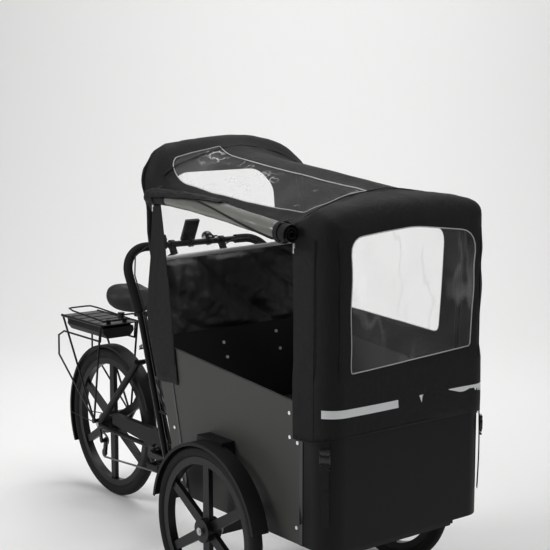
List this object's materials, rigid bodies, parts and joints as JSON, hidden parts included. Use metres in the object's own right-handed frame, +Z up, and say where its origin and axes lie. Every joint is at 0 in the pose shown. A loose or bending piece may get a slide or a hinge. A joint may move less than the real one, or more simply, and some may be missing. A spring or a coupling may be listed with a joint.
{
  "type": "cargo bicycle",
  "caption": "Front-loading tricycle with a panelled passenger box between two steered wheels, rain tent, hoop handlebar and one driven rear wheel.",
  "frame": {"origin": "centre of the bounding box's base, on the ground", "axes": "+X forward, +Y to the rider's left, +Z up"},
  "size_m": [2.272, 0.964, 1.657],
  "materials": {
    "frame_paint": "satin black powder coat",
    "steel": "zinc plated",
    "bolt_steel": "bright",
    "tyre": "matte black",
    "cast_wheel": "satin black",
    "panel_grey": "matte dark grey",
    "panel_black": "matte black",
    "black_plastic": "fine texture",
    "gloss_black": "gloss",
    "red_lens": "clear red",
    "foam": "matte foam",
    "saddle_skin": "matte",
    "cushion_cloth": "woven",
    "tent_cloth": "coated weave",
    "clear_film": "soft clear film",
    "rolled_film": "soft film",
    "silver_band": "reflective",
    "webbing": "webbing",
    "chain_steel": "oiled"
  },
  "bodies": {
    "frame": {"main_frame": "frame_paint", "rear_stays": "frame_paint", "kingpin_nut": "steel", "seat_clamp": "frame_paint", "rear_axle": "steel", "rear_mudguard": "black_plastic", "luggage_rack": "frame_paint", "battery_rail": "black_plastic", "tail_light": "gloss_black", "tail_lens": "red_lens", "chain_guard": "black_plastic", "chain": "chain_steel", "derailleur": "frame_paint"},
    "battery": {"battery_pack": "black_plastic"},
    "rack_clip": {"rack_spring_clip": "frame_paint"},
    "seat": {"seatpost": "frame_paint", "saddle_rails": "steel", "saddle": "saddle_skin"},
    "seat_lever": {"clamp_lever": "steel"},
    "crank": {"crankset": "frame_paint", "chainring": "frame_paint"},
    "pedal_right": {"pedal_right": "black_plastic"},
    "pedal_left": {"pedal_left": "black_plastic"},
    "freewheel": {"sprockets": "chain_steel"},
    "guide_pulley": {"guide_pulley": "black_plastic"},
    "tension_pulley": {"tension_pulley": "black_plastic"},
    "rear_wheel": {"rear_tyre": "tyre", "rear_wheel": "cast_wheel"},
    "carrier": {"chassis": "frame_paint", "side_panels": "panel_grey", "front_panel": "panel_black", "rear_panel": "panel_black", "floor_panel": "panel_black", "corner_trims": "gloss_black", "box_bolts": "bolt_steel", "bench": "panel_black", "bench_cushion": "cushion_cloth", "front_fenders": "black_plastic", "stub_axles": "steel", "handlebar": "frame_paint", "foam_grips": "foam", "lever_perches": "black_plastic", "display": "gloss_black", "bell": "gloss_black", "brake_cables": "foam", "tent_bows": "steel", "canopy": "tent_cloth", "tent_windows": "clear_film", "rolled_window": "rolled_film", "reflective_band": "silver_band", "tent_straps": "webbing"},
    "front_wheel_right": {"front_tyre_right": "tyre", "front_wheel_right": "cast_wheel"},
    "front_wheel_left": {"front_tyre_left": "tyre", "front_wheel_left": "cast_wheel"},
    "brake_lever_right": {"brake_lever_right": "frame_paint"},
    "brake_lever_left": {"brake_lever_left": "frame_paint"},
    "bell_lever": {"bell_lever": "black_plastic"},
    "shift_lever": {"shift_lever": "black_plastic"},
    "display_button": {"display_button": "black_plastic"}
  },
  "joints": [
    {"name": "steering", "type": "hinge", "parent": "frame", "child": "carrier", "pos_m": [0.442, 0, 0.3], "axis": [0, 0, 1], "range_deg": [-38, 38]},
    {"name": "rear_wheel_spin", "type": "hinge", "parent": "frame", "child": "rear_wheel", "pos_m": [-0.787, 0, 0.335], "axis": [0, 1, 0], "continuous": true},
    {"name": "front_wheel_right_spin", "type": "hinge", "parent": "carrier", "child": "front_wheel_right", "pos_m": [0.577, -0.44, 0.3], "axis": [0, 1, 0], "continuous": true},
    {"name": "front_wheel_left_spin", "type": "hinge", "parent": "carrier", "child": "front_wheel_left", "pos_m": [0.577, 0.44, 0.3], "axis": [0, 1, 0], "continuous": true},
    {"name": "crank_spin", "type": "hinge", "parent": "frame", "child": "crank", "pos_m": [-0.339, 0, 0.3], "axis": [0, 1, 0], "continuous": true},
    {"name": "pedal_right_spin", "type": "hinge", "parent": "crank", "child": "pedal_right", "pos_m": [-0.169, -0.14, 0.3], "axis": [0, 1, 0], "continuous": true},
    {"name": "pedal_left_spin", "type": "hinge", "parent": "crank", "child": "pedal_left", "pos_m": [-0.509, 0.14, 0.3], "axis": [0, 1, 0], "continuous": true},
    {"name": "freewheel_spin", "type": "hinge", "parent": "frame", "child": "freewheel", "pos_m": [-0.787, -0.055, 0.335], "axis": [0, 1, 0], "continuous": true},
    {"name": "guide_pulley_spin", "type": "hinge", "parent": "frame", "child": "guide_pulley", "pos_m": [-0.773, -0.052, 0.259], "axis": [0, 1, 0], "continuous": true},
    {"name": "tension_pulley_spin", "type": "hinge", "parent": "frame", "child": "tension_pulley", "pos_m": [-0.785, -0.052, 0.197], "axis": [0, 1, 0], "continuous": true},
    {"name": "saddle_height", "type": "slide", "parent": "frame", "child": "seat", "axis": [-0.342, 0, 0.9397], "range_m": [-0.03, 0.08]},
    {"name": "seat_clamp_lever", "type": "hinge", "parent": "frame", "child": "seat_lever", "pos_m": [-0.52384, -0.018, 0.72012], "axis": [0.342, 0, -0.9397], "range_deg": [0, 120]},
    {"name": "battery_slide", "type": "slide", "parent": "frame", "child": "battery", "axis": [-1, 0, 0], "range_m": [0, 0.34]},
    {"name": "rack_clip_lift", "type": "hinge", "parent": "frame", "child": "rack_clip", "pos_m": [-0.752, 0, 0.803], "axis": [0, 1, 0], "range_deg": [0, 70], "stiffness_Nm_per_rad": 1.2, "springref_deg": -28.65},
    {"name": "brake_right", "type": "hinge", "parent": "carrier", "child": "brake_lever_right", "pos_m": [-0.10327, -0.12, 1.18013], "axis": [-0.8854, 0, -0.4648], "range_deg": [0, 18], "stiffness_Nm_per_rad": 1.5, "springref_deg": -14.32},
    {"name": "brake_left", "type": "hinge", "parent": "carrier", "child": "brake_lever_left", "pos_m": [-0.10327, 0.12, 1.18013], "axis": [0.8854, 0, 0.4648], "range_deg": [0, 18], "stiffness_Nm_per_rad": 1.5, "springref_deg": -14.32},
    {"name": "shift_trigger", "type": "hinge", "parent": "carrier", "child": "shift_lever", "pos_m": [-0.11531, -0.157, 1.24609], "axis": [0.8854, 0, 0.4648], "range_deg": [0, 28], "stiffness_Nm_per_rad": 0.15, "springref_deg": -11.46},
    {"name": "bell_trigger", "type": "hinge", "parent": "carrier", "child": "bell_lever", "pos_m": [-0.1293, 0.0853, 1.22971], "axis": [-0.4648, 0, 0.8854], "range_deg": [-5, 20], "stiffness_Nm_per_rad": 0.05},
    {"name": "display_button_push", "type": "slide", "parent": "carrier", "child": "display_button", "axis": [0.9041, 0, -0.4274], "range_m": [0, 0.0012], "stiffness_N_per_m": 300, "springref_m": -0.002}
  ],
  "couplings": [
    {"joint": "freewheel_spin", "follows": "crank_spin", "ratio": 2.0952},
    {"joint": "guide_pulley_spin", "follows": "crank_spin", "ratio": -4.8889},
    {"joint": "tension_pulley_spin", "follows": "crank_spin", "ratio": 4.8889}
  ]
}
